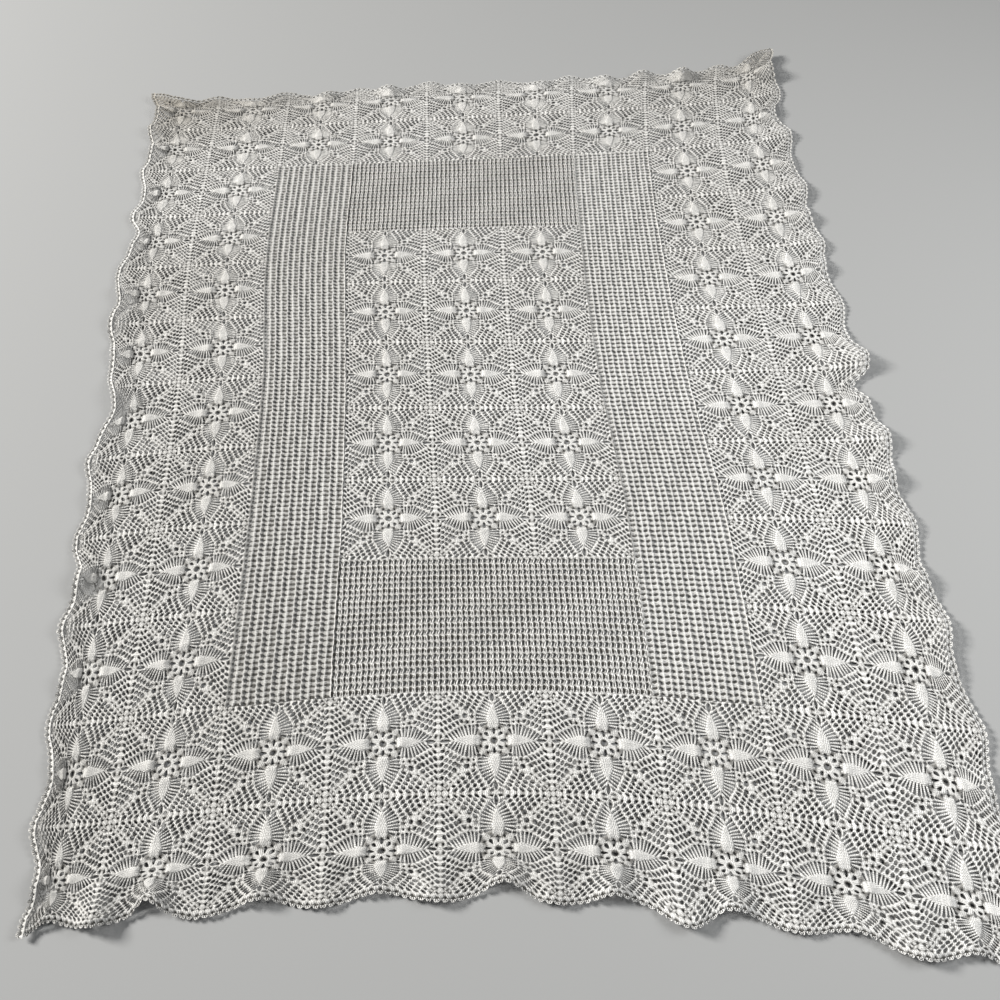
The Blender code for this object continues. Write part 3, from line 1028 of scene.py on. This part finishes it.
@dataclass
class EdgingLength(LacePanel):
    """One length of shell edging along a side of the rim."""

    side: str = "head"
    per_square: int = SHELLS_A_SQUARE

    @property
    def size(self) -> Pair:
        """Depth and length of the flat edging, in metres."""
        length = ALONG if self.side in ("left", "right") else ACROSS
        return (EDGING, length * SQUARE + (2 * EDGING if length == ALONG else 0.0))

    def places(self, chart: Chart, points: Values) -> tuple[Values, Values]:
        """Places on the cloth of all shells, which stand outwards from the rim."""
        long_side = self.side in ("left", "right")
        length = ALONG if long_side else ACROSS
        extra = 1 if long_side else 0
        number = np.arange(-extra, length * self.per_square + extra)
        unit = chart.width * MM / SQUARE
        place = (number[:, None] + 0.5) * unit + points[None, :, 0] * MM / SQUARE
        depth = -np.tile(points[:, 1] * MM / SQUARE, (len(number), 1))
        far = ACROSS if self.side == "right" else ALONG
        if self.side in ("right", "foot"):
            depth = far - depth
        place, depth = place.ravel(), depth.ravel()
        return (depth, place) if long_side else (place, depth)


@dataclass
class Studio:
    """Pale floor, soft lights and the camera."""

    cloth: LaidCloth
    floor_size: float = 14.0
    floor_colour: Triple = (0.28, 0.28, 0.275)
    floor_roughness: float = 0.9
    floor_shine: float = 0.2
    key_power: float = 2350.0
    fill_power: float = 100.0
    surround: Triple = (0.9, 0.95, 1.0)
    surround_strength: float = 0.12
    camera_place: Triple = (-0.01, -1.57, 1.77)
    camera_tilt: Triple = (34.6, 0.2, -2.7)
    lens: float = 36.5
    lens_width: float = 36.0

    def floor(self) -> bpy.types.Object:
        """Adds the plain pale floor that the bedspread lies on."""
        bpy.ops.object.select_all(action="DESELECT")
        bpy.ops.mesh.primitive_plane_add(size=self.floor_size)
        floor = bpy.context.object
        floor.name = "floor"
        paint = bpy.data.materials.new("floor_paint")
        paint.use_nodes = True
        shader = paint.node_tree.nodes["Principled BSDF"]
        shader.inputs["Base Color"].default_value = (*self.floor_colour, 1.0)
        shader.inputs["Roughness"].default_value = self.floor_roughness
        shader.inputs["Specular IOR Level"].default_value = self.floor_shine
        floor.data.materials.append(paint)
        return floor

    def lamp(self, name: str, place: Triple, size: float, power: float, colour: Triple) -> None:
        """Adds one square soft light that faces the middle of the bedspread.

        Args:
            name: Name of the light.
            place: Where it hangs, in metres.
            size: Side of the light, in metres.
            power: Power in watts.
            colour: Colour of the light.
        """
        data = bpy.data.lights.new(name, "AREA")
        data.shape = "SQUARE"
        data.size = size
        data.energy = power
        data.color = colour
        lamp = bpy.data.objects.new(name, data)
        lamp.location = place
        lamp.rotation_euler = (-Vector(place)).to_track_quat("-Z", "Y").to_euler()
        bpy.context.scene.collection.objects.link(lamp)

    def lights(self) -> None:
        """Adds a low key light on the left, a weak fill and a pale surround."""
        self.lamp("key_light", (-8.4, 2.2, 5.0), 2.4, self.key_power, (1.0, 0.99, 0.975))
        self.lamp("fill_light", (2.6, -0.7, 2.4), 1.8, self.fill_power, (0.97, 0.985, 1.0))
        world = bpy.data.worlds.new("surround")
        world.use_nodes = True
        sky = world.node_tree.nodes["Background"]
        sky.inputs["Color"].default_value = (*self.surround, 1.0)
        sky.inputs["Strength"].default_value = self.surround_strength
        bpy.context.scene.world = world

    def camera(self) -> None:
        """Adds the camera, above the foot of the bedspread and looking down its length."""
        data = bpy.data.cameras.new("camera")
        data.sensor_width = self.lens_width
        data.lens = self.lens
        camera = bpy.data.objects.new("camera", data)
        x, y, z = self.camera_place
        camera.location = (x - self.cloth.middle[0], y - self.cloth.middle[1], z)
        camera.rotation_euler = Euler([math.radians(a) for a in self.camera_tilt], "XYZ")
        bpy.context.scene.collection.objects.link(camera)
        bpy.context.scene.camera = camera
        bpy.context.scene.view_settings.view_transform = "Standard"


PANELS = (
    LacePanel("centre_panel", Work.LEAF_SQUARES, 3, 3.5, 6, 8.5),
    LacePanel("border_head", Work.LEAF_SQUARES, 2, 0, 7, 2),
    LacePanel("border_foot", Work.LEAF_SQUARES, 2, 10, 7, 12),
    LacePanel("border_left", Work.LEAF_SQUARES, 0, 0, 2, 12),
    LacePanel("border_right", Work.LEAF_SQUARES, 7, 0, 9, 12),
    LacePanel("mesh_head", Work.MESH_ACROSS, 3, 2, 6, 3.5),
    LacePanel("mesh_foot", Work.MESH_ACROSS, 3, 8.5, 6, 10),
    LacePanel("mesh_left", Work.MESH_LEFT, 2, 2, 3, 10),
    LacePanel("mesh_right", Work.MESH_RIGHT, 6, 2, 7, 10),
)


def main() -> None:
    """Builds every piece in order."""
    logging.basicConfig(level=logging.INFO, format="%(name)s: %(message)s")
    cloth = LaidCloth()
    cloth.centre()
    studio = Studio(cloth)
    studio.camera()
    studio.floor()
    studio.lights()
    twist = twist_group()
    square_yarn = YarnFinish("leaf_square_yarn").material(twist)
    mesh_yarn = YarnFinish("mesh_yarn").material(twist)
    side_mm = SQUARE / MM
    charts = {
        Work.LEAF_SQUARES: LeafSquareChart().chart(),
        Work.MESH_LEFT: MeshChart(side_mm / 17, side_mm / 14, 0.45, upright=True,
                                  reach=0.34, post=0.5).chart(),
        Work.MESH_RIGHT: MeshChart(side_mm / 16, side_mm / 16, -0.45, upright=True,
                                   reach=0.34, post=0.62).chart(),
        Work.MESH_ACROSS: MeshChart(3 * side_mm / 53, 1.5 * side_mm / 22, 0.2,
                                    slit=(2.4, 0.55), rib=0.6, post=3.2).chart(),
        Work.SHELLS: ShellChart(side_mm / SHELLS_A_SQUARE).chart(),
    }
    for panel in PANELS:
        yarn = square_yarn if panel.work is Work.LEAF_SQUARES else mesh_yarn
        panel.build(charts[panel.work], cloth, yarn)
    for side in SIDES:
        edging = EdgingLength("edging_" + side, Work.SHELLS, 0, 0, ACROSS, ALONG, side=side)
        edging.build(charts[Work.SHELLS], cloth, square_yarn)


if __name__ == "__main__":
    main()
